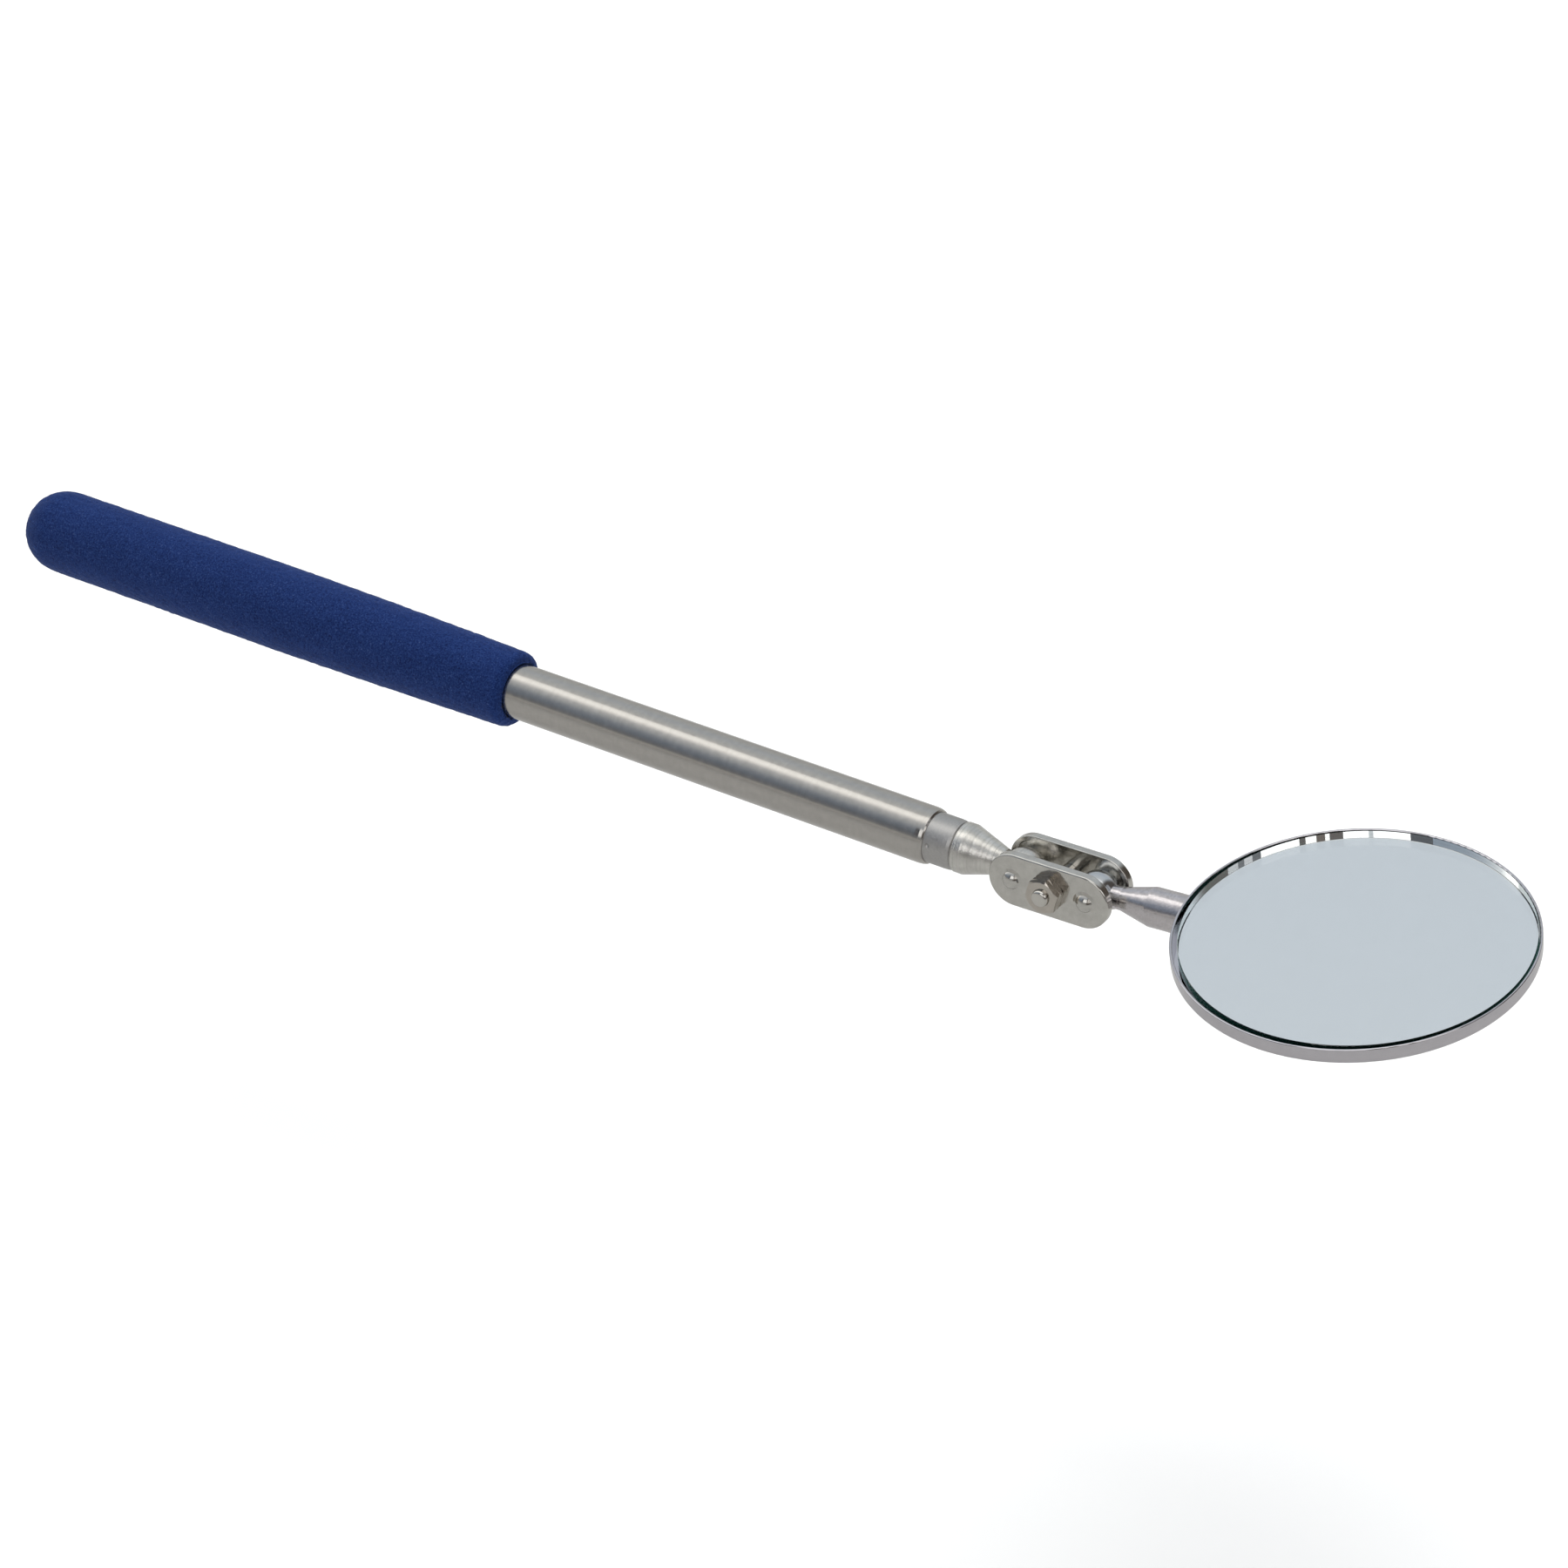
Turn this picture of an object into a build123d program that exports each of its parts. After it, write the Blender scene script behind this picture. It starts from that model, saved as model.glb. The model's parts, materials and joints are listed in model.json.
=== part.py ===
"""Telescoping inspection mirror, collapsed, in millimetres.

+X runs along the rod from the grip towards the mirror, and +Z is up.
The origin is on the rod's axis, in the middle of the straight part of the grip.
"""
from build123d import *
from math import asin, cos, radians, sin, sqrt, tan
import os

# ---- driving dimensions -------------------------------------------------------------------------
# Rod: four tubes, one inside the other
tube_outer_radii = [4.95, 4.4, 3.9, 3.4]
tube_walls = [0.4, 0.35, 0.35, 0.35]
tube_names = ["outer_tube", "second_tube", "third_tube", "fourth_tube"]
outer_tube_back = -26.0
outer_tube_mouth = 171.7
second_tube_mouth = 176.8
mouth_setback = 0.1
stage_stagger = 13.0
mouth_clearance = 0.03
mouth_lip = 0.1
swage_length = 2.0
groove_length = 9.0
groove_depth = 0.3
tube_tail = 1.2
slide_clearance = 0.03
bush_end_play = 0.1
bush_split = 0.6
plug_length = 5.0
plug_wall = 0.8
plug_floor = 0.6
plug_flange_radius = 4.85
plug_gap = 0.5
dimple_radius = 0.45
dimple_depth = 0.28
dimple_from_band_end = 1.0
dimple_angle = 168.0
dimple_count = 3

# Grip
grip_radius = 7.85
grip_mouth_radius = 6.95
grip_end = -30.4
grip_mouth = 85.0
grip_straight_to = 23.4
grip_dome_radius = 7.0
grip_lip_radius = 1.9

# Ball joints and clamp
ball_radius = 3.6
seat_clearance = 0.04
rod_ball_x = 188.94
ball_spacing = 13.77
clamp_pitch = 1.95
clamp_roll = 1.0
plate_half_height = 4.78
plate_end_spacing = 12.9
plate_inner_face = 2.75
plate_outer_face = 4.35
plate_edge_radius = 0.35
plate_inner_edge_radius = 0.15
recess_depth = 0.35
recess_rim = 0.95
recess_flare = 35.0
boss_radius = 2.1
boss_height = 0.4
boss_crown_radius = 1.65
boss_crown_height = 1.0
screw_radius = 1.5
screw_hole_clearance = 0.05
screw_end_radius = 0.6
screw_head_radius = 2.8
screw_head_height = 1.9
screw_head_edge_radius = 0.8
screw_slot = 0.8
screw_end = 7.36
nut_flats = 5.5
nut_thickness = 1.07
nut_chamfer = 0.24
nut_gap = 0.03
nut_turn = 16.3

# Cone fitting on the rod's end
cone_base_radius = 4.38
cone_base_edge = 0.15
cone_collar_length = 1.9
cone_collar_edge_length = 0.3
cone_collar_edge_depth = 0.1
cone_half_angle = 17.5
cone_neck_radius = 1.8
cone_neck_x = 3.2
cone_neck_step = 0.4
cone_shank_length = 12.0
cone_joint_gap = 0.12
pin_radius = 0.75
pin_setback = 5.0
pin_end_gap = 0.05

# Stem and mirror
stem_radius = 3.35
stem_neck_radius = 2.0
stem_neck_edge = 0.1
stem_neck_x = 4.9
stem_full_x = 10.4
stem_end_x = 42.0
stem_end_edge = 0.8
ball_flat_x = 3.05
ball_spigot_radius = 1.4
ball_spigot_depth = 1.5
ball_spigot_end_gap = 0.05
mirror_centre_x = 46.67
mirror_lip_height = 5.2
mirror_normal = Vector(-0.0909, -0.106, 0.9902)
mirror_radius = 28.8
mirror_depth = 2.75
frame_wall = 0.45
frame_base = 0.35
frame_corner_radius = 0.7
frame_lip_radius = 0.2
frame_to_stem_step = 0.4
glass_radius = 27.9
glass_thickness = 1.65
glass_below_lip = 0.06
glass_bevel = 0.12
glass_offset = (0.2, 0.34)
silvering_thickness = 0.04
silvering_gap = 0.01
pad_radius = 26.0
rivet_radius = 1.2
rivet_head_radius = 1.9
rivet_head_height = 0.2
rivet_clearance = 0.15
rivet_places = [25.0, 36.0]
rivet_foot_height = 0.7
rivet_seat = 2.7

# ---- frames of the tilted pieces ------------------------------------------------------------------
rod_ball = Vector(rod_ball_x, 0, 0)
clamp_along = Vector(cos(radians(clamp_pitch)), 0, sin(radians(clamp_pitch)))
clamp_front = Vector(0, -cos(radians(clamp_roll)), sin(radians(clamp_roll)))
clamp_front = (clamp_front - clamp_along * clamp_front.dot(clamp_along)).normalized()
clamp_plane = Plane(origin=rod_ball, x_dir=clamp_along, z_dir=clamp_front)
mirror_ball_centre = rod_ball + clamp_along * ball_spacing
mirror_up = mirror_normal.normalized()
stem_along = (Vector(1, 0, 0) - mirror_up * mirror_up.X).normalized()
mirror_plane = Plane(origin=mirror_ball_centre, x_dir=stem_along, z_dir=mirror_up)
screw_x = ball_spacing / 2


def turned(points):
    """A solid of revolution about the X axis from an outline given as (along, radius)."""
    outline = Polyline(*points, close=True)
    return revolve(make_face(outline), Axis.X)


# ---- rod ------------------------------------------------------------------------------------------
def tube_inner_radius(stage):
    return tube_outer_radii[stage] - tube_walls[stage]


def tube_back(stage):
    """The rear end of each tube: every stage stops just ahead of the one that it slides in."""
    return outer_tube_back + plug_length + plug_gap + stage_stagger * (stage - 1)


def tube_front(stage):
    """The front end of each sliding tube: the third and fourth end just inside the second's mouth."""
    return second_tube_mouth - mouth_setback * (stage - 1)


def mouth_points(stage, front):
    """Front end of a tube that is swaged in to guide the next one: outline from outside to inside."""
    outer = tube_outer_radii[stage]
    inner = tube_inner_radius(stage)
    guide = tube_outer_radii[stage + 1] + mouth_clearance
    lip = guide + mouth_lip
    shoulder = swage_length * 0.75
    rim = [(front - shoulder + shoulder * sin(t), lip + (outer - lip) * cos(t))
           for t in (radians(a) for a in (0, 30, 60, 90))]
    return rim + [(front, guide), (front - shoulder * 0.4, guide), (front - swage_length, inner)]


def tube_tail_points(stage, back):
    """Rear end of a sliding tube, with the rolled groove that holds its bush: (inside, outside)."""
    outer = tube_outer_radii[stage]
    inner = tube_inner_radius(stage)
    ends = [back + tube_tail, back + tube_tail + groove_depth]
    fronts = [ends[1] + groove_length, ends[1] + groove_length + groove_depth]
    xs = [back, ends[0], ends[1], fronts[0], fronts[1]]
    drops = [0, 0, groove_depth, groove_depth, 0]
    outside = [(x, outer - d) for x, d in zip(xs, drops)]
    inside = [(x, inner - d) for x, d in zip(xs, drops)]
    return inside, outside


def make_outer_tube():
    outer = tube_outer_radii[0]
    inner = tube_inner_radius(0)
    points = [(outer_tube_back, inner), (outer_tube_back, outer)]
    return turned(points + mouth_points(0, outer_tube_mouth))


def make_sliding_tube(stage):
    inside, outside = tube_tail_points(stage, tube_back(stage))
    front = tube_front(stage)
    if stage < 3:
        end = mouth_points(stage, front)
    else:
        end = [(front, tube_outer_radii[stage]), (front, tube_inner_radius(stage))]
    tube = turned(outside + end + inside[::-1])
    if stage == 1:
        tube = tube - band_dimples()
    if stage == 3:
        tube = tube - stud_pin_solid()
    return tube


def band_dimples():
    """Small punch marks on the second tube's front band."""
    reach = tube_outer_radii[1] + dimple_radius - dimple_depth
    x = outer_tube_mouth + dimple_from_band_end
    marks = []
    for i in range(dimple_count):
        angle = radians(dimple_angle + 360 / dimple_count * i)
        marks.append(Pos(x, reach * cos(angle), reach * sin(angle)) * Sphere(dimple_radius))
    return marks


def make_bush(stage):
    """Two half rings in the groove, which rub on the wall of the tube around them."""
    start = tube_back(stage) + tube_tail + groove_depth + bush_end_play
    length = groove_length - 2 * bush_end_play
    outside = tube_inner_radius(stage - 1) - slide_clearance
    inside = tube_outer_radii[stage] - groove_depth + slide_clearance
    end = start + length
    ring = turned([(start, inside), (start, outside), (end, outside), (end, inside)])
    return ring - Pos((start + end) / 2, 0, 0) * Box(2 * length, bush_split, 4 * outside)


def make_end_plug():
    """Cup pressed into the outer tube's rear end."""
    outer = tube_inner_radius(0)
    bore = outer - plug_wall
    back = outer_tube_back - plug_floor
    front = outer_tube_back + plug_length
    inside = outer_tube_back + plug_floor
    return turned([(back, 0), (back, plug_flange_radius), (outer_tube_back, plug_flange_radius),
                   (outer_tube_back, outer), (front, outer), (front, bore), (inside, bore), (inside, 0)])


def make_grip():
    """Foam sleeve with a domed closed end, a straight part, a gentle taper and a rounded lip."""
    bore = tube_outer_radii[0]
    bottom = outer_tube_back - plug_floor
    dome_centre = grip_end + grip_dome_radius
    lip_x = grip_mouth - grip_lip_radius
    bend = sqrt(0.5)
    flat = grip_radius - grip_dome_radius
    taper_run = lip_x - grip_straight_to
    taper_drop = grip_radius - grip_mouth_radius
    taper_radius = (taper_run**2 + taper_drop**2) / (2 * taper_drop)
    half_way = grip_radius - taper_radius + sqrt(taper_radius**2 - (taper_run / 2)**2)
    outline = [
        Line((grip_end, 0), (grip_end, flat)),
        ThreePointArc((grip_end, flat),
                      (dome_centre - grip_dome_radius * bend, flat + grip_dome_radius * bend),
                      (dome_centre, grip_radius)),
        Line((dome_centre, grip_radius), (grip_straight_to, grip_radius)),
        ThreePointArc((grip_straight_to, grip_radius),
                      (grip_straight_to + taper_run / 2, half_way),
                      (lip_x, grip_mouth_radius)),
        ThreePointArc((lip_x, grip_mouth_radius),
                      (lip_x + grip_lip_radius * bend, grip_mouth_radius - grip_lip_radius * (1 - bend)),
                      (grip_mouth, grip_mouth_radius - grip_lip_radius)),
        Polyline((grip_mouth, grip_mouth_radius - grip_lip_radius), (grip_mouth, bore), (bottom, bore),
                 (bottom, 0), (grip_end, 0)),
    ]
    return revolve(make_face(Curve() + outline), Axis.X)


# ---- cone fitting with the rod's ball ---------------------------------------------------------------
def stud_pin_solid():
    x = tube_front(3) - pin_setback
    return Pos(x, 0, 0) * Cylinder(pin_radius, 2 * (tube_outer_radii[3] - pin_end_gap))


def make_cone_stud():
    """Collar and cone, a short neck and the ball, turned in one piece, with a shank in the tube."""
    shank_radius = tube_inner_radius(3)
    tube_radius = tube_outer_radii[3]
    seat = tube_front(3)
    shank_end = seat - cone_shank_length
    face = second_tube_mouth + cone_joint_gap
    collar_end = face + cone_collar_length
    slope = tan(radians(cone_half_angle))
    top_radius = cone_base_radius - cone_collar_edge_depth
    neck_x = rod_ball_x - cone_neck_x
    cone_end = neck_x - cone_neck_step
    cone_end_radius = top_radius - (cone_end - collar_end) * slope
    stud = turned([(shank_end, 0), (shank_end, shank_radius), (seat, shank_radius),
                   (seat, tube_radius), (face, tube_radius), (face, cone_base_radius - cone_base_edge),
                   (face + cone_base_edge, cone_base_radius),
                   (collar_end - cone_collar_edge_length, cone_base_radius),
                   (collar_end, top_radius), (cone_end, cone_end_radius), (neck_x, cone_neck_radius),
                   (rod_ball_x, cone_neck_radius), (rod_ball_x, 0)])
    stud = stud + Pos(rod_ball_x, 0, 0) * Sphere(ball_radius)
    return stud - stud_pin_solid()


# ---- clamp, in its own plane: x along the plates, z out of the front plate --------------------------
def stadium(half_height):
    return Pos(screw_x, 0) * SlotCenterToCenter(plate_end_spacing, 2 * half_height)


def cap(radius, height):
    """The part of a ball above the plane z = 0, with that radius on the plane."""
    ball_size = (radius**2 + height**2) / (2 * height)
    above = Cylinder(2 * radius, 2 * height, align=(Align.CENTER, Align.CENTER, Align.MIN))
    return Pos(0, 0, height - ball_size) * Sphere(ball_size) & above


def make_plate():
    """A pressed plate with two ball seats inside and two bosses outside, each with a steep round crown."""
    thickness = plate_outer_face - plate_inner_face
    plate = Pos(0, 0, plate_inner_face) * extrude(stadium(plate_half_height), thickness)
    plate = fillet(plate.faces().sort_by(Axis.Z)[-1].edges(), plate_edge_radius)
    plate = fillet(plate.faces().sort_by(Axis.Z)[0].edges(), plate_inner_edge_radius)
    recess = extrude(stadium(plate_half_height - recess_rim), recess_depth, taper=-recess_flare)
    plate = plate - Pos(0, 0, plate_inner_face + recess_depth) * mirror(recess, Plane.XY)
    boss = cap(boss_radius, boss_height) + cap(boss_crown_radius, boss_crown_height)
    for x in (0, ball_spacing):
        plate = plate + Pos(x, 0, plate_outer_face) * boss
        plate = plate - Pos(x, 0, 0) * Sphere(ball_radius + seat_clearance)
    return plate - Pos(screw_x, 0, 0) * Cylinder(screw_radius + screw_hole_clearance, 4 * plate_outer_face)


def make_clamp_screw():
    """Machine screw from the back, with a slotted pan head and a domed end."""
    length = plate_outer_face + screw_end
    shank = Cylinder(screw_radius, length, align=(Align.CENTER, Align.CENTER, Align.MIN))
    shank = fillet(shank.edges().sort_by(Axis.Z)[-1], screw_end_radius)
    head = Cylinder(screw_head_radius, screw_head_height, align=(Align.CENTER, Align.CENTER, Align.MAX))
    head = fillet(head.edges().sort_by(Axis.Z)[0], screw_head_edge_radius)
    head = head - Pos(0, 0, -screw_head_height) * Box(4 * screw_head_radius, screw_slot, 2 * screw_slot)
    return Pos(screw_x, 0, -plate_outer_face) * (shank + head)


def make_nut(base):
    """Thin hexagon nut with both faces chamfered."""
    corner_radius = nut_flats / sqrt(3)
    hexagon = extrude(RegularPolygon(corner_radius, 6), nut_thickness)
    blank = Cylinder(corner_radius, nut_thickness, align=(Align.CENTER, Align.CENTER, Align.MIN))
    rims = blank.edges().group_by(Axis.Z)
    blank = chamfer(rims[0] + rims[-1], nut_chamfer, corner_radius - nut_flats / 2)
    bore = Cylinder(screw_radius + slide_clearance, 3 * nut_thickness)
    nut = (hexagon & blank) - bore
    return Pos(screw_x, 0, base) * Rot(0, 0, nut_turn) * nut


# ---- mirror, in its own plane: x along the stem, z out of the mirror's face --------------------------
frame_back = mirror_lip_height - mirror_depth
frame_floor = frame_back + frame_base
glass_top = mirror_lip_height - glass_below_lip
glass_bottom = glass_top - glass_thickness
silvering_top = glass_bottom - silvering_gap
pad_top = silvering_top - silvering_thickness


def make_mirror_ball():
    """Ball at the stem's end, with the bore that the stem's spigot turns in."""
    bore_end = -ball_spigot_depth - ball_spigot_end_gap
    bore_radius = ball_spigot_radius + slide_clearance
    ball = Sphere(ball_radius) & Pos(ball_flat_x, 0, 0) * Box(
        4 * ball_radius, 4 * ball_radius, 4 * ball_radius, align=(Align.MAX, Align.CENTER, Align.CENTER))
    return ball - turned([(bore_end, 0), (bore_end, bore_radius), (2 * ball_radius, bore_radius),
                          (2 * ball_radius, 0)])


def make_stem():
    """Turned bar: spigot, neck, cone and a round body milled flat where the mirror's frame sits."""
    neck_start = ball_flat_x + slide_clearance
    bar = turned([(-ball_spigot_depth, 0), (-ball_spigot_depth, ball_spigot_radius),
                  (neck_start, ball_spigot_radius), (neck_start, stem_neck_radius - stem_neck_edge),
                  (stem_neck_x, stem_neck_radius), (stem_full_x, stem_radius),
                  (stem_end_x - stem_end_edge, stem_radius), (stem_end_x, stem_radius - stem_end_edge),
                  (stem_end_x, 0)])
    flat_start = mirror_centre_x - mirror_radius - frame_to_stem_step
    flat = Box(stem_end_x, 4 * stem_radius, stem_radius, align=(Align.MIN, Align.CENTER, Align.MIN))
    bar = bar - Pos(flat_start, 0, frame_back) * flat
    seat_radius = rivet_head_radius + rivet_clearance
    seat = Cylinder(seat_radius, stem_radius, align=(Align.CENTER, Align.CENTER, Align.MAX))
    for x in rivet_places:
        bar = bar - Pos(x, 0, 0) * Cylinder(rivet_radius, 4 * stem_radius)
        bar = bar - Pos(x, 0, -rivet_seat) * seat
    return bar


def make_rivets():
    """Two rivets: a flat head inside the frame, and a domed foot in a spot face under the bar."""
    head_top = frame_floor + rivet_head_height
    foot_ball = (rivet_head_radius**2 + rivet_foot_height**2) / (2 * rivet_foot_height)
    foot_mid = asin(rivet_head_radius / foot_ball) / 2
    foot_end = -rivet_seat - rivet_foot_height
    foot = ThreePointArc((-rivet_seat, rivet_head_radius),
                         (foot_end + foot_ball * (1 - cos(foot_mid)), foot_ball * sin(foot_mid)),
                         (foot_end, 0))
    body = Polyline((foot_end, 0), (head_top, 0), (head_top, rivet_head_radius),
                    (frame_floor, rivet_head_radius), (frame_floor, rivet_radius),
                    (-rivet_seat, rivet_radius), (-rivet_seat, rivet_head_radius))
    rivet = Rot(0, -90, 0) * revolve(make_face(Curve() + [foot, body]), Axis.X)
    return Compound(children=[Pos(x, 0, 0) * rivet for x in rivet_places])


def disc(radius, low, high, offset=(0, 0)):
    """A flat disc between two heights, on the frame's axis or set off from it."""
    cylinder = Cylinder(radius, high - low, align=(Align.CENTER, Align.CENTER, Align.MIN))
    return Pos(mirror_centre_x + offset[0], offset[1], low) * cylinder


def make_frame():
    """Shallow drawn cup with a rounded bottom corner and a plain rim."""
    cup = disc(mirror_radius, frame_back, mirror_lip_height)
    cup = fillet(cup.edges().sort_by(Axis.Z)[0], frame_corner_radius)
    cup = cup - disc(mirror_radius - frame_wall, frame_floor, 2 * mirror_lip_height)
    cup = fillet(cup.edges().group_by(Axis.Z)[-1], frame_lip_radius)
    for x in rivet_places:
        cup = cup - Pos(x, 0, 0) * Cylinder(rivet_radius, 4 * mirror_lip_height)
    return cup


def make_glass():
    """Glass disc with a ground bevel, set a little off the frame's centre, as it was glued in."""
    glass = disc(glass_radius, glass_bottom, glass_top, glass_offset)
    return chamfer(glass.edges().sort_by(Axis.Z)[-1], glass_bevel)


def make_silvering():
    return disc(glass_radius, pad_top, silvering_top, glass_offset)


def make_pad():
    """Adhesive foam disc between the frame and the glass, with room for the rivet heads."""
    pad = disc(pad_radius, frame_floor, pad_top)
    for x in rivet_places:
        pad = pad - Pos(x, 0, 0) * Cylinder(rivet_head_radius + rivet_clearance, 4 * mirror_lip_height)
    return pad


# ---- write the nodes ----------------------------------------------------------------------------------
front_plate = make_plate()
clamp_place = clamp_plane.location
mirror_place = mirror_plane.location
clamp_nut_base = plate_outer_face + nut_gap
jam_nut_base = clamp_nut_base + nut_thickness + nut_gap

nodes = {
    "grip_sleeve": make_grip(),
    "outer_tube": make_outer_tube(),
    "tube_end_plug": make_end_plug(),
    "cone_ball_stud": make_cone_stud(),
    "stud_pin": stud_pin_solid(),
    "front_clamp_plate": clamp_place * front_plate,
    "rear_clamp_plate": clamp_place * mirror(front_plate, Plane.XY),
    "clamp_screw": clamp_place * make_clamp_screw(),
    "clamp_nut": clamp_place * make_nut(clamp_nut_base),
    "jam_nut": clamp_place * make_nut(jam_nut_base),
    "mirror_ball": mirror_place * make_mirror_ball(),
    "mirror_stem": mirror_place * make_stem(),
    "stem_rivets": mirror_place * make_rivets(),
    "mirror_frame": mirror_place * make_frame(),
    "adhesive_pad": mirror_place * make_pad(),
    "mirror_silvering": mirror_place * make_silvering(),
    "mirror_glass": mirror_place * make_glass(),
}
for stage in (1, 2, 3):
    nodes[tube_names[stage]] = make_sliding_tube(stage)
    nodes[tube_names[stage] + "_bush"] = make_bush(stage)

os.makedirs("parts", exist_ok=True)
for name, shape in nodes.items():
    export_step(shape, f"parts/{name}.step")
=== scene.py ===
import json
from math import atan2, cos, pi, radians, sin, sqrt

import bpy
import numpy as np
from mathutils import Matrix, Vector


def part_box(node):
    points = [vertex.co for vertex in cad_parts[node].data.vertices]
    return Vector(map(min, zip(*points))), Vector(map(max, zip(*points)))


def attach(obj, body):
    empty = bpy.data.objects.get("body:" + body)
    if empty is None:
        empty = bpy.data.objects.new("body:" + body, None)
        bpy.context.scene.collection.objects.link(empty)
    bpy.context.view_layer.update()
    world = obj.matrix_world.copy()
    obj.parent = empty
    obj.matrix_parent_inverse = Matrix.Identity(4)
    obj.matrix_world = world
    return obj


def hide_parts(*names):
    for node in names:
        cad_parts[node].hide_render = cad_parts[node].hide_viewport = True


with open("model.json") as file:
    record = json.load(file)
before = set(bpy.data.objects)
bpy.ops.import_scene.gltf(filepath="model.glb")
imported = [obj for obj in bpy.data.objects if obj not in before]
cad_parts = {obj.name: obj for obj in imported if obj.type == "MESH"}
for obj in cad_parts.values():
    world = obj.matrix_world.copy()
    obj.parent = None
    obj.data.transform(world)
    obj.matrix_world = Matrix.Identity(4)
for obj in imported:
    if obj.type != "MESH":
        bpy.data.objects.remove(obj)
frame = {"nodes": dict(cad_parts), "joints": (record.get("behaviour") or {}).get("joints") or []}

# Lengths are in metres. The rod lies along X, with the grip at its low end.
MM = 0.001
NODE = frame["nodes"]
JOINT = {joint["name"]: joint for joint in frame["joints"]}
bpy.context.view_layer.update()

rod_ball = Vector(JOINT["rod_ball_swing"]["pos_m"])
mirror_ball = Vector(JOINT["mirror_ball_swing"]["pos_m"])
clamp_axis = Vector(JOINT["rod_ball_swing"]["axis"])
rod_axis = Vector((1, 0, 0))
on_rod = Vector((0, 0, 0))

# Camera
view_azimuth = radians(33.8)
view_elevation = radians(31.68)
view_distance = 0.6517
view_behind_ball = 0.04756
lens_mm = 87.93
sensor_mm = 36.0


def make_camera():
    data = bpy.data.cameras.new("camera")
    data.lens = lens_mm
    data.sensor_width = sensor_mm
    data.clip_start = 0.01
    data.clip_end = 100
    camera = bpy.data.objects.new("camera", data)
    bpy.context.scene.collection.objects.link(camera)
    back = Vector((sin(view_azimuth) * cos(view_elevation), -cos(view_azimuth) * cos(view_elevation),
                   sin(view_elevation)))
    camera.location = rod_ball - rod_axis * view_behind_ball + back * view_distance
    camera.rotation_mode = "QUATERNION"
    camera.rotation_quaternion = (-back).to_track_quat("-Z", "Y")
    bpy.context.scene.camera = camera


# Studio
swing_reach = (Vector(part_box("mirror_frame")[1]) - rod_ball).length
floor_height = -swing_reach - 0.01
room_size = 12.0
floor_pale = (0.95, 0.95, 0.945, 1)
floor_in_metal = (0.47, 0.467, 0.455, 1)
backdrop_pale = (0.92, 0.92, 0.915, 1)
# The room by the angle round the rod: 0 is level on the near side, 0.5 is overhead and 1 is level behind
sky_round = [
    (0.000, (0.50, 0.49, 0.47)),
    (0.040, (0.47, 0.465, 0.45)),
    (0.058, (0.215, 0.22, 0.235)),
    (0.080, (0.21, 0.22, 0.24)),
    (0.160, (0.23, 0.27, 0.33)),
    (0.203, (0.27, 0.31, 0.37)),
    (0.246, (0.35, 0.39, 0.45)),
    (0.331, (0.60, 0.63, 0.66)),
    (0.380, (0.76, 0.78, 0.80)),
    (0.420, (1.15, 1.15, 1.14)),
    (0.466, (1.65, 1.65, 1.62)),
    (0.550, (1.55, 1.55, 1.52)),
    (0.565, (0.74, 0.75, 0.75)),
    (0.620, (0.69, 0.72, 0.73)),
    (0.756, (0.593, 0.643, 0.699)),
    (0.900, (0.56, 0.58, 0.58)),
    (1.000, (0.50, 0.50, 0.49)),
]
# Towards the rod's mirror end the room is dark: from one X part of the direction, fully from the other
sky_far_end = (0.10, 0.085, 0.075, 1)
far_end_from = 0.2
far_end_full = 0.5
# Lamps and dark furniture on the near side, by compass angle: 0.5 is straight in front, and 0.75 is
# towards the mirror. The fourth number says how far each one covers the sky behind it.
room_things = [
    (0.000, (0.00, 0.00, 0.00, 0)),
    (0.422, (0.07, 0.07, 0.08, 1)),
    (0.461, (1.45, 1.45, 1.45, 1)),
    (0.525, (0.60, 0.62, 0.64, 1)),
    (0.532, (1.45, 1.45, 1.45, 1)),
    (0.575, (0.10, 0.08, 0.07, 1)),
    (0.600, (1.30, 1.28, 1.25, 1)),
    (0.609, (0.13, 0.10, 0.08, 1)),
    (0.625, (1.30, 1.28, 1.25, 1)),
    (0.643, (0.10, 0.085, 0.075, 1)),
    (0.656, (1.45, 1.45, 1.45, 1)),
    (0.733, (0.12, 0.12, 0.13, 1)),
    (0.753, (0.60, 0.60, 0.62, 1)),
    (0.772, (0.15, 0.15, 0.16, 1)),
    (0.786, (0.55, 0.56, 0.58, 1)),
    (0.814, (0.00, 0.00, 0.00, 0)),
]
things_bottom = 0.28
things_top = 0.75
things_edge = 0.06
fill_power = 31.0
fill_size = 2.0
fill_height = 1.9
fill_far = 0.9


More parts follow.
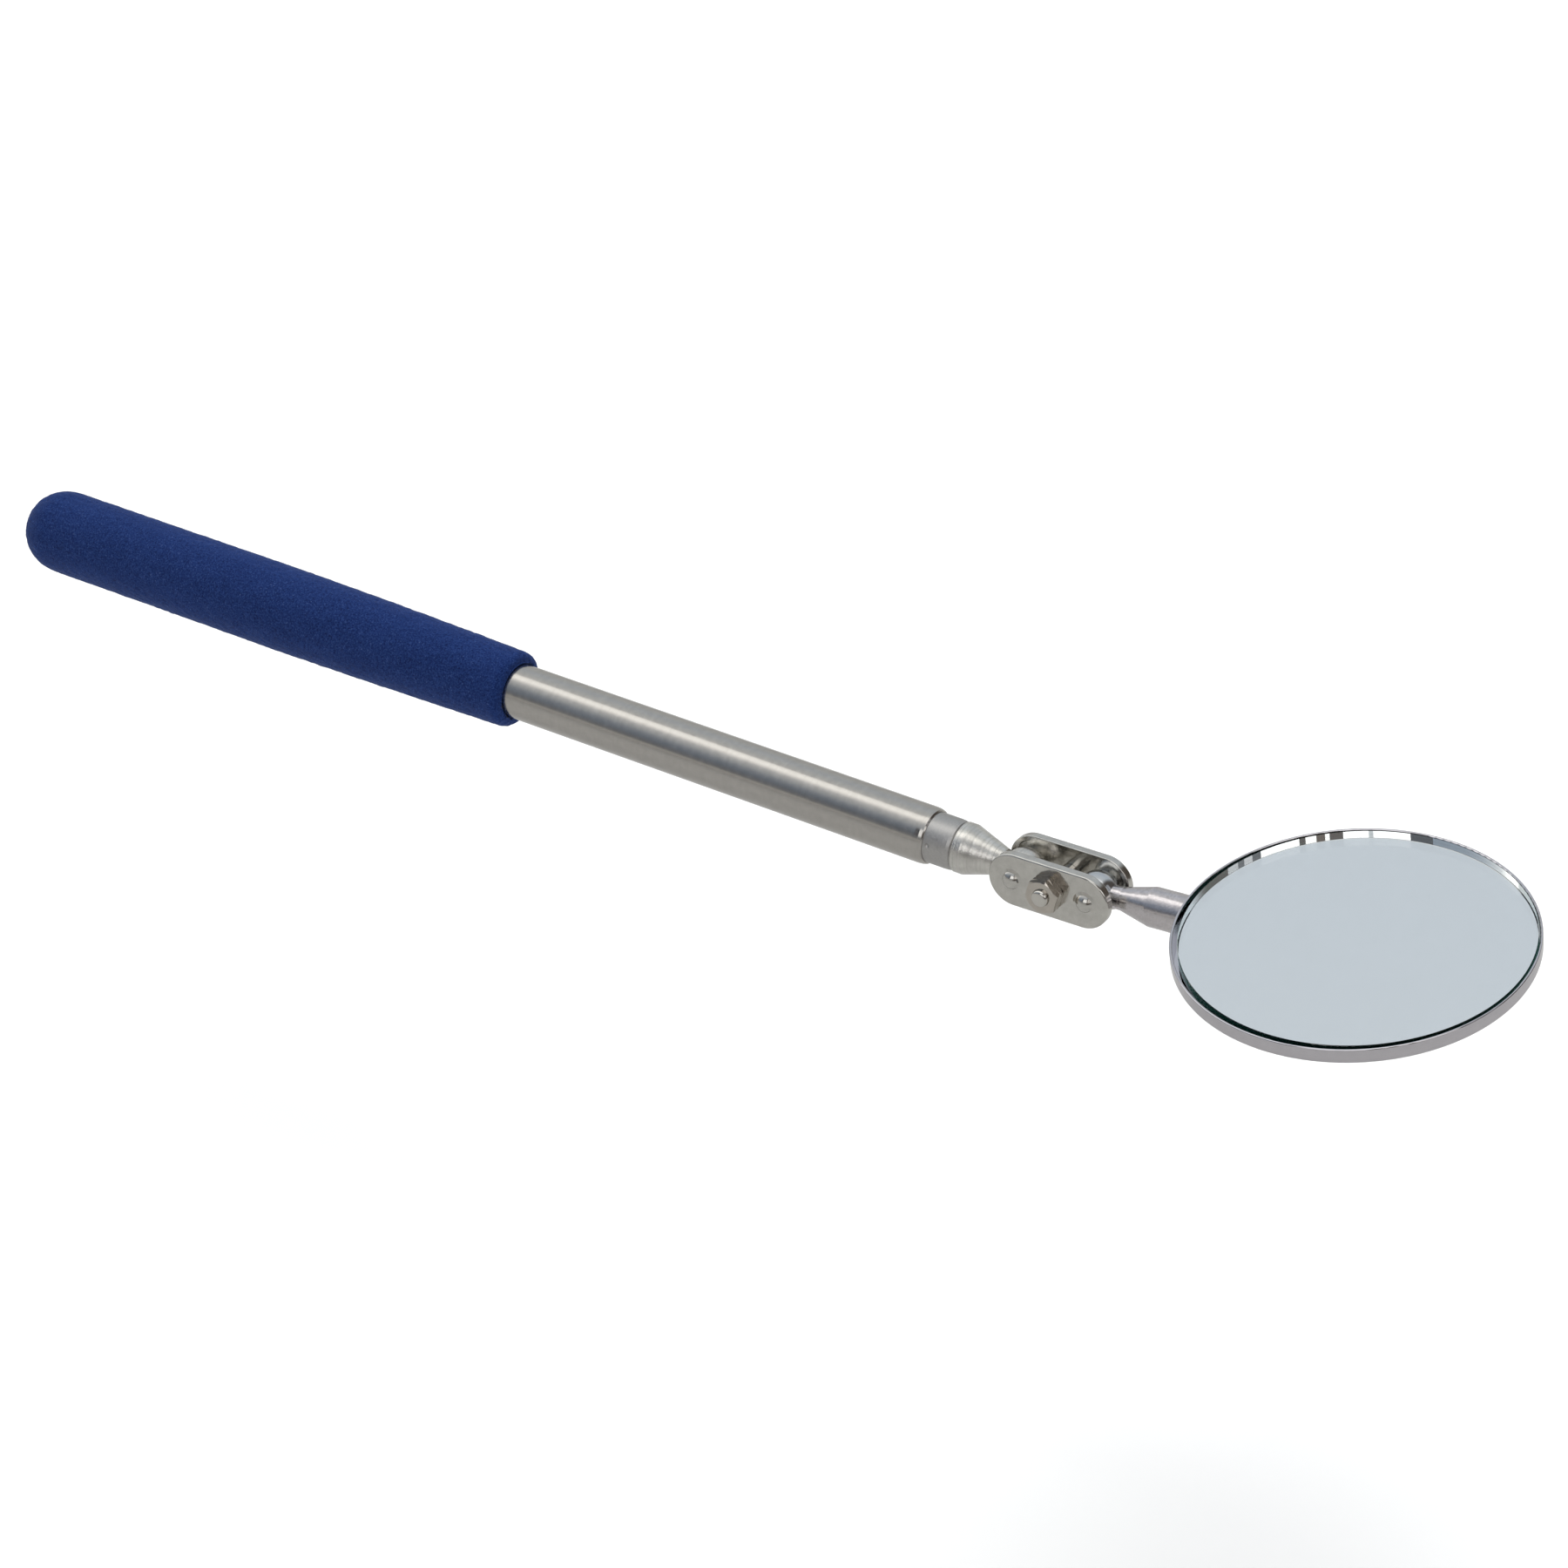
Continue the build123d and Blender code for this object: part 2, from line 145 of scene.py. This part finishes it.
def make_sky():
    world = bpy.data.worlds.new("studio")
    bpy.context.scene.world = world
    world.use_nodes = True
    tree = world.node_tree

    def add(kind, links=(), **settings):
        return add_node(tree, kind, links, **settings)

    split = add("SeparateXYZ", {0: add("TexCoord").outputs["Generated"]})
    near = add("Math", {0: split.outputs["Y"], 1: -1}, operation="MULTIPLY").outputs[0]
    round_rod = add("Math", {0: split.outputs["Z"], 1: near}, operation="ARCTAN2").outputs[0]
    ring = add("ValToRGB", {"Fac": add("Math", {0: round_rod, 1: pi}, operation="DIVIDE").outputs[0]})
    set_stops(ring, sky_round)
    end = add("MapRange", {"Value": split.outputs["X"], "From Min": far_end_from,
                           "From Max": far_end_full}, interpolation_type="SMOOTHSTEP").outputs[0]
    sky = add("Mix", {"Factor": end, 6: ring.outputs["Color"], 7: sky_far_end}, data_type="RGBA")
    compass = add("Math", {0: split.outputs["X"], 1: near}, operation="ARCTAN2").outputs[0]
    place = add("MapRange", {"Value": compass, "From Min": -pi, "From Max": pi}).outputs[0]
    things = add("ValToRGB", {"Fac": place})
    things.color_ramp.interpolation = "CONSTANT"
    set_stops(things, room_things)
    low = add("MapRange", {"Value": split.outputs["Z"], "From Min": things_bottom,
                           "From Max": things_bottom + things_edge}).outputs[0]
    high = add("MapRange", {"Value": split.outputs["Z"], "From Min": things_top,
                            "From Max": things_top - things_edge}).outputs[0]
    between = add("Math", {0: low, 1: high}, operation="MULTIPLY").outputs[0]
    cover = add("Math", {0: between, 1: things.outputs["Alpha"]}, operation="MULTIPLY").outputs[0]
    room = add("Mix", {"Factor": cover, 6: sky.outputs[2], 7: things.outputs["Color"]}, data_type="RGBA")
    tree.links.new(room.outputs[2], tree.nodes["Background"].inputs["Color"])


def add_node(tree, kind, links=(), **settings):
    """A shader node with its settings, and its inputs either linked or set."""
    node = tree.nodes.new("ShaderNode" + kind)
    for setting, value in settings.items():
        setattr(node, setting, value)
    for socket, source in dict(links).items():
        if isinstance(source, bpy.types.NodeSocket):
            tree.links.new(source, node.inputs[socket])
        else:
            node.inputs[socket].default_value = source
    return node


def set_stops(ramp, stops):
    elements = ramp.color_ramp.elements
    while len(elements) < len(stops):
        elements.new(1)
    for element, (place, colour) in zip(elements, stops):
        element.position = place
        element.color = (*colour[:3], colour[3] if len(colour) == 4 else 1)


def show_to(piece, camera=False, diffuse=False, glossy=False, shadow=False):
    piece.visible_camera = camera
    piece.visible_diffuse = diffuse
    piece.visible_glossy = glossy
    piece.visible_transmission = glossy
    piece.visible_shadow = shadow


def make_floor(name, height, colour):
    half = room_size / 2
    mesh = bpy.data.meshes.new(name)
    corners = [(-half, -half, height), (half, -half, height), (half, half, height), (-half, half, height)]
    mesh.from_pydata(corners, [], [(0, 1, 2, 3)])
    floor = bpy.data.objects.new(name, mesh)
    bpy.context.scene.collection.objects.link(floor)
    finish = Finish(name, {"Base Color": colour, "Roughness": 0.9, "Specular IOR Level": 0.1})
    finish.dress(floor)
    return floor


def make_backdrop():
    bpy.ops.mesh.primitive_uv_sphere_add(segments=48, ring_count=24, radius=room_size / 2)
    backdrop = bpy.context.object
    backdrop.name = "backdrop"
    finish = Finish("backdrop", {"Base Color": (0, 0, 0, 1), "Emission Color": backdrop_pale,
                                 "Emission Strength": 1.0, "Specular IOR Level": 0.0})
    finish.dress(backdrop)
    show_to(backdrop, camera=True)


def make_fill_light():
    data = bpy.data.lights.new("fill", "AREA")
    data.shape = "DISK"
    data.size = fill_size
    data.energy = fill_power
    light = bpy.data.objects.new("fill", data)
    bpy.context.scene.collection.objects.link(light)
    light.location = rod_ball / 2 + Vector((0, fill_far, fill_height))
    light.rotation_euler = (-atan2(fill_far, fill_height), 0, 0)
    light.visible_camera = False
    light.visible_glossy = False
    light.visible_transmission = False


# Finishes. Most values of a noise texture lie between these two.
noise_low = 0.3
noise_high = 0.7
# Faces of the glass that lean no further than this from upright make up its top
glass_top_lean = radians(20)
# The sheen of the ground edge: full up to one cosine off the mirror's normal, and gone from the other
ground_edge_full = 0.5
ground_edge_end = 0.9
ground_edge_sheen = 0.5


class Finish:
    """A Principled material with the node chains that its detail is made of."""

    def __init__(self, name, sockets):
        self.material = bpy.data.materials.new(name)
        self.material.use_nodes = True
        self.tree = self.material.node_tree
        self.shader = self.tree.nodes["Principled BSDF"]
        self.normal = None
        for socket, value in sockets.items():
            self.shader.inputs[socket].default_value = value
        self.object_point = None

    def add(self, kind, links=(), **settings):
        return add_node(self.tree, kind, links, **settings)

    def point(self):
        if self.object_point is None:
            self.object_point = self.add("TexCoord").outputs["Object"]
        return self.object_point

    def grain(self, size, detail=3.0, rough=0.55, point=None):
        """Noise with features of that size, one length or three."""
        lengths = (size, size, size) if isinstance(size, float) else size
        scaled = self.add("VectorMath", {0: point or self.point(), 1: [1 / length for length in lengths]},
                          operation="MULTIPLY")
        noise = self.add("TexNoise", {"Vector": scaled.outputs[0], "Scale": 1.0, "Detail": detail,
                                      "Roughness": rough})
        return noise.outputs["Fac"]

    def turned_point(self, centre, axis):
        """The distance along an axis and out from it, which makes rings of any pattern."""
        from_centre = self.add("VectorMath", {0: self.point(), 1: centre}, operation="SUBTRACT").outputs[0]
        along = self.add("VectorMath", {0: from_centre, 1: axis}, operation="DOT_PRODUCT").outputs["Value"]
        across = self.add("VectorMath", {0: from_centre, 1: axis}, operation="CROSS_PRODUCT").outputs[0]
        out = self.add("VectorMath", {0: across}, operation="LENGTH").outputs["Value"]
        return self.add("CombineXYZ", {"X": along, "Y": out}).outputs[0]

    def spread(self, source, low, high, source_low=noise_low, source_high=noise_high):
        """Maps a value from its own range, which is that of noise unless given, to low and high."""
        return self.add("MapRange", {"Value": source, "From Min": source_low, "From Max": source_high,
                                     "To Min": low, "To Max": high}).outputs[0]

    def mixed(self, first, second, share=0.5):
        return self.add("Mix", {0: share, 2: first, 3: second}).outputs[0]

    def colours(self, source, stops):
        ramp = self.add("ValToRGB", {"Fac": source})
        set_stops(ramp, stops)
        return ramp.outputs["Color"]

    def shades(self, source, low, high):
        """Colours from low to high over the usual range of noise."""
        return self.colours(source, [(noise_low, low), (noise_high, high)])

    def base(self, source):
        self.tree.links.new(source, self.shader.inputs["Base Color"])

    def roughness(self, source):
        self.tree.links.new(source, self.shader.inputs["Roughness"])

    def bump(self, source, depth, strength=1.0):
        links = {"Height": source, "Distance": depth, "Strength": strength}
        if self.normal is not None:
            links["Normal"] = self.normal
        self.normal = self.add("Bump", links).outputs[0]
        self.tree.links.new(self.normal, self.shader.inputs["Normal"])

    def dress(self, *pieces):
        for piece in pieces:
            piece.data.materials.clear()
            piece.data.materials.append(self.material)


def scaled_colour(colour, factor):
    return tuple(channel * factor for channel in colour)


def make_metal(name, colour, rough, contrast=0.06, patch=1.5 * MM, grain=0.12 * MM, depth=0.6e-6, wave=0.0):
    """Plated or polished metal: faint cloudy patches, fine grain, uneven gloss."""
    finish = Finish(name, {"Metallic": 1.0})
    cloud = finish.grain(patch)
    fine = finish.grain(grain)
    both = finish.mixed(cloud, fine)
    finish.base(finish.shades(both, scaled_colour(colour, 1 - contrast), scaled_colour(colour, 1 + contrast)))
    finish.roughness(finish.spread(both, rough * 0.75, rough * 1.25))
    finish.bump(fine, depth)
    if wave:
        finish.bump(finish.grain(patch * 1.6, detail=1.0), wave)
    return finish


def make_ringed(name, colour, rough, centre, axis, ring, depth, contrast=0.06, patch=2.0 * MM):
    """Turned or ground metal: rings round an axis, broken by faint patches."""
    finish = Finish(name, {"Metallic": 1.0})
    rings = finish.grain(ring, detail=4.0, rough=0.7, point=finish.turned_point(centre, axis))
    cloud = finish.grain(patch)
    both = finish.mixed(rings, cloud)
    finish.base(finish.shades(both, scaled_colour(colour, 1 - contrast), scaled_colour(colour, 1 + contrast)))
    finish.roughness(finish.spread(both, rough * 0.7, rough * 1.3))
    finish.bump(rings, depth)
    finish.bump(finish.grain(0.1 * MM), depth / 3)
    return finish


def dress_metals():
    make_ringed("outer_tube_steel", (0.50, 0.48, 0.452), 0.18, on_rod, rod_axis, 0.12 * MM, 2.5e-6,
                contrast=0.10, patch=1.2 * MM).dress(NODE["outer_tube"])
    make_ringed("stage_tube_steel", (0.48, 0.47, 0.46), 0.42, on_rod, rod_axis, 0.10 * MM, 6e-6,
                contrast=0.16, patch=0.4 * MM).dress(
        NODE["second_tube"], NODE["third_tube"], NODE["fourth_tube"])
    make_ringed("turned_nickel", (0.65, 0.635, 0.60), 0.20, on_rod, rod_axis, 0.36 * MM, 60e-6,
                contrast=0.28).dress(NODE["cone_ball_stud"])
    make_metal("plate_nickel", (0.59, 0.575, 0.54), 0.16, contrast=0.14, patch=1.2 * MM, wave=70e-6).dress(
        NODE["front_clamp_plate"], NODE["rear_clamp_plate"])
    make_ringed("screw_nickel", (0.62, 0.60, 0.56), 0.16, mirror_ball, clamp_axis, 0.2 * MM, 2e-6).dress(
        NODE["clamp_screw"])
    make_metal("nut_nickel", (0.54, 0.50, 0.45), 0.12, contrast=0.10, wave=12e-6).dress(
        NODE["clamp_nut"], NODE["jam_nut"])
    make_metal("ball_steel", (0.58, 0.60, 0.62), 0.16, wave=12e-6).dress(NODE["mirror_ball"])
    make_metal("stem_chrome", (0.60, 0.57, 0.58), 0.16, contrast=0.16, patch=0.8 * MM, grain=0.25 * MM,
               depth=8e-6, wave=25e-6).dress(NODE["mirror_stem"])
    make_metal("rivet_steel", (0.52, 0.52, 0.52), 0.25).dress(NODE["stem_rivets"])
    make_metal("pin_steel", (0.52, 0.52, 0.52), 0.3).dress(NODE["stud_pin"])
    mirror_centre = sum((Vector(corner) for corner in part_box("mirror_frame")), Vector()) / 2
    make_ringed("frame_chrome", (0.61, 0.59, 0.62), 0.09, mirror_centre, mirror_normal(), 0.25 * MM,
                1.2e-6).dress(NODE["mirror_frame"])
    make_ringed("bush_brass", (0.72, 0.52, 0.25), 0.3, on_rod, rod_axis, 0.15 * MM, 2e-6).dress(
        NODE["second_tube_bush"], NODE["third_tube_bush"], NODE["fourth_tube_bush"])


def mirror_normal():
    """The mirror's facing, from the faces of the glass that look up."""
    upward = Vector()
    for polygon in NODE["mirror_glass"].data.polygons:
        if polygon.normal.z > cos(glass_top_lean):
            upward += polygon.normal * polygon.area
    return upward.normalized()


def dress_mirror():
    glass = Finish("mirror_glass", {"Transmission Weight": 1.0, "IOR": 1.52,
                                    "Base Color": (0.975, 0.985, 0.98, 1),
                                    "Sheen Roughness": 0.5, "Sheen Tint": (0.10, 0.45, 0.38, 1)})
    facing = glass.add("VectorMath", {0: glass.add("TexCoord").outputs["Normal"], 1: mirror_normal()},
                       operation="DOT_PRODUCT").outputs["Value"]
    flatness = glass.add("Math", {0: facing}, operation="ABSOLUTE").outputs[0]
    ground_edge = glass.spread(flatness, ground_edge_sheen, 0.0, ground_edge_full, ground_edge_end)
    glass.tree.links.new(ground_edge, glass.shader.inputs["Sheen Weight"])
    smear = glass.grain((9 * MM, 4 * MM, 6 * MM), detail=5.0)
    glass.roughness(glass.spread(smear, 0.0, 0.004))
    glass.dress(NODE["mirror_glass"])
    silver = Finish("silvering", {"Metallic": 1.0})
    haze = silver.grain(6 * MM, detail=4.0)
    silver.base(silver.shades(haze, (0.94, 0.945, 0.95), (0.95, 0.955, 0.96)))
    silver.roughness(silver.spread(haze, 0.0, 0.004))
    silver.dress(NODE["mirror_silvering"])


def dress_hidden():
    plug = Finish("plug_plastic", {"Specular IOR Level": 0.4})
    texture = plug.grain(0.2 * MM)
    plug.base(plug.shades(texture, (0.035, 0.035, 0.04), (0.06, 0.06, 0.07)))
    plug.roughness(plug.spread(texture, 0.45, 0.65))
    plug.bump(texture, 10e-6)
    plug.dress(NODE["tube_end_plug"])
    pad = Finish("pad_foam", {"Specular IOR Level": 0.2})
    cells = pad.grain(0.25 * MM)
    pad.base(pad.shades(cells, (0.07, 0.07, 0.07), (0.15, 0.15, 0.15)))
    pad.roughness(pad.spread(cells, 0.8, 1.0))
    pad.bump(cells, 40e-6)
    pad.dress(NODE["adhesive_pad"])


# Grip
grip_low, grip_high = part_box("grip_sleeve")
grip_end = grip_low.x
grip_mouth = grip_high.x
grip_radius = grip_high.z
grip_straight_to = 23.4 * MM
grip_taper_power = 1.7
grip_mouth_radius = 6.95 * MM
grip_dome_radius = 7.0 * MM
grip_dome_length = 8.0 * MM
grip_lip_radius = 1.75 * MM
grip_inner_lip_radius = 0.30 * MM
tube_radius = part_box("outer_tube")[1].z
tube_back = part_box("outer_tube")[0].x
grip_step = 0.36 * MM
grip_bore_step = 2 * MM
grip_steps_round = 180
foam_fine_depth = 0.030 * MM
foam_wave_depth = 0.015 * MM
foam_pit_depth = 0.10 * MM
foam_pit_share = 0.012
foam_pit_spread = 0.4
foam_most_depths = 2.5
foam_fade_radius = 2 * MM
# Widths of the foam's features, in steps along the grip and round it
foam_grain_steps = (1, 0.9)
foam_wave_steps = (14, 10)
foam_seed = 7


def arc(centre, radius, start, end):
    """Points of an arc in the profile's plane, about a step apart, at angles from +X towards the outside."""
    count = max(3, round(abs(end - start) * radius / grip_step) + 1)
    angles = np.linspace(start, end, count)
    return [(centre[0] + radius * cos(a), centre[1] + radius * sin(a)) for a in angles]


def line(start, end, step=grip_step):
    count = max(2, round(sqrt((end[0] - start[0])**2 + (end[1] - start[1])**2) / step) + 1)
    return [tuple(p) for p in np.linspace(start, end, count)]


def grip_profile():
    """The sleeve's outer line from the closed end to the mouth, and its inner line back to the axis."""
    flat = grip_radius - grip_dome_radius
    stretch = grip_dome_length / grip_dome_radius
    dome = [(grip_end + grip_dome_length + x * stretch, y)
            for x, y in arc((0, flat), grip_dome_radius, pi, pi / 2)]
    lip_centre = (grip_mouth - grip_lip_radius, grip_mouth_radius - grip_lip_radius)
    inner_centre = (grip_mouth - grip_inner_lip_radius, tube_radius + grip_inner_lip_radius)
    run = lip_centre[0] - grip_straight_to
    places = np.linspace(0, 1, round(run / grip_step) + 1)
    narrowing = grip_radius - grip_mouth_radius
    taper = [(grip_straight_to + run * t, grip_radius - narrowing * t**grip_taper_power) for t in places]
    outer = (line((grip_end, grip_step), (grip_end, flat))
             + dome[1:]
             + line(dome[-1], (grip_straight_to, grip_radius))[1:]
             + taper[1:]
             + arc(lip_centre, grip_lip_radius, pi / 2, 0)[1:])
    inner = (arc(inner_centre, grip_inner_lip_radius, 0, -pi / 2)
             + line((inner_centre[0], tube_radius), (tube_back, tube_radius), grip_bore_step)[1:]
             + [(tube_back, tube_radius / 2)])
    return outer, inner


def blurred(field, steps, round_steps):
    """A field smoothed along its rows and round its columns, scaled back to a spread of one."""
    along = np.exp(-0.5 * (np.arange(-3 * steps, 3 * steps + 1) / steps)**2)
    smooth = np.apply_along_axis(lambda row: np.convolve(row, along / along.sum(), "same"), 0, field)
    wave = np.fft.fftfreq(field.shape[1]) * 2 * pi * round_steps
    smooth = np.fft.ifft(np.fft.fft(smooth, axis=1) * np.exp(-0.5 * wave**2), axis=1).real
    return smooth / smooth.std()


def foam_relief(rows):
    """How far each point of the outer skin is off the smooth sleeve: grains, slow waves and small pits."""
    rng = np.random.default_rng(foam_seed)
    shape = (rows, grip_steps_round)
    grains = blurred(rng.standard_normal(shape), *foam_grain_steps)
    waves = blurred(rng.standard_normal(shape), *foam_wave_steps)
    pits = (rng.random(shape) < foam_pit_share) * rng.random(shape)
    pits = pits + foam_pit_spread * (np.roll(pits, 1, 1) + np.roll(pits, -1, 1))
    pits[1:] += foam_pit_spread * pits[:-1]
    relief = foam_fine_depth * grains + foam_wave_depth * waves - foam_pit_depth * pits
    return np.clip(relief, -foam_most_depths * foam_pit_depth, foam_most_depths * foam_fine_depth)


def make_grip():
    outer, inner = grip_profile()
    profile = np.array(outer + inner)
    step = np.gradient(profile, axis=0)
    normal = np.stack([-step[:, 1], step[:, 0]], axis=1)
    normal /= np.linalg.norm(normal, axis=1)[:, None]
    relief = np.zeros((len(profile), grip_steps_round))
    skin = len(outer)
    fade = np.clip(profile[:skin, 1] / foam_fade_radius, 0, 1)
    relief[:skin] = foam_relief(skin) * fade[:, None]
    relief[:skin] -= foam_fine_depth
    angles = np.arange(grip_steps_round) * 2 * pi / grip_steps_round
    x = profile[:, 0, None] + normal[:, 0, None] * relief
    r = profile[:, 1, None] + normal[:, 1, None] * relief
    points = np.stack([x, r * np.cos(angles), r * np.sin(angles)], axis=2).reshape(-1, 3)
    ends = np.array([[grip_end, 0, 0], [tube_back, 0, 0]])
    first, last = len(points), len(points) + 1
    faces = []
    for row in range(len(profile) - 1):
        here, there = row * grip_steps_round, (row + 1) * grip_steps_round
        for k in range(grip_steps_round):
            after = (k + 1) % grip_steps_round
            faces.append((here + k, here + after, there + after, there + k))
    bottom = (len(profile) - 1) * grip_steps_round
    for k in range(grip_steps_round):
        after = (k + 1) % grip_steps_round
        faces.append((first, after, k))
        faces.append((last, bottom + k, bottom + after))
    mesh = bpy.data.meshes.new("foam_grip")
    mesh.from_pydata(np.vstack([points, ends]).tolist(), [], faces)
    mesh.validate()
    mesh.shade_smooth()
    grip = bpy.data.objects.new("foam_grip", mesh)
    bpy.context.scene.collection.objects.link(grip)
    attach(grip, "handle")
    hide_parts("grip_sleeve")
    return grip


def dress_grip(grip):
    foam = Finish("foam_grip", {"Specular IOR Level": 0.06, "Sheen Weight": 0.09, "Sheen Roughness": 0.45,
                                "Sheen Tint": (0.6, 0.7, 1.0, 1)})
    cells = foam.grain(0.30 * MM, detail=4.0, rough=0.65)
    rubbed = foam.grain((9 * MM, 3 * MM, 3 * MM), detail=4.0)
    both = foam.mixed(cells, rubbed, 0.1)
    foam.base(foam.colours(both, [(0.32, (0.003, 0.009, 0.052)), (0.50, (0.0105, 0.0285, 0.122)),
                                  (0.64, (0.022, 0.050, 0.180)), (0.74, (0.13, 0.17, 0.27))]))
    foam.roughness(foam.spread(cells, 0.72, 0.95))
    foam.bump(cells, 0.05 * MM)
    foam.bump(foam.grain(0.12 * MM, detail=2.0), 0.02 * MM)
    foam.dress(grip)


scene = bpy.context.scene
scene.view_settings.view_transform = "Standard"
make_camera()
make_sky()
pale_floor = make_floor("floor", floor_height, floor_pale)
show_to(pale_floor, camera=True, diffuse=True, shadow=True)
metal_floor = make_floor("floor_in_metal", floor_height + MM, floor_in_metal)
show_to(metal_floor, glossy=True)
make_backdrop()
make_fill_light()
dress_metals()
dress_mirror()
dress_hidden()
dress_grip(make_grip())
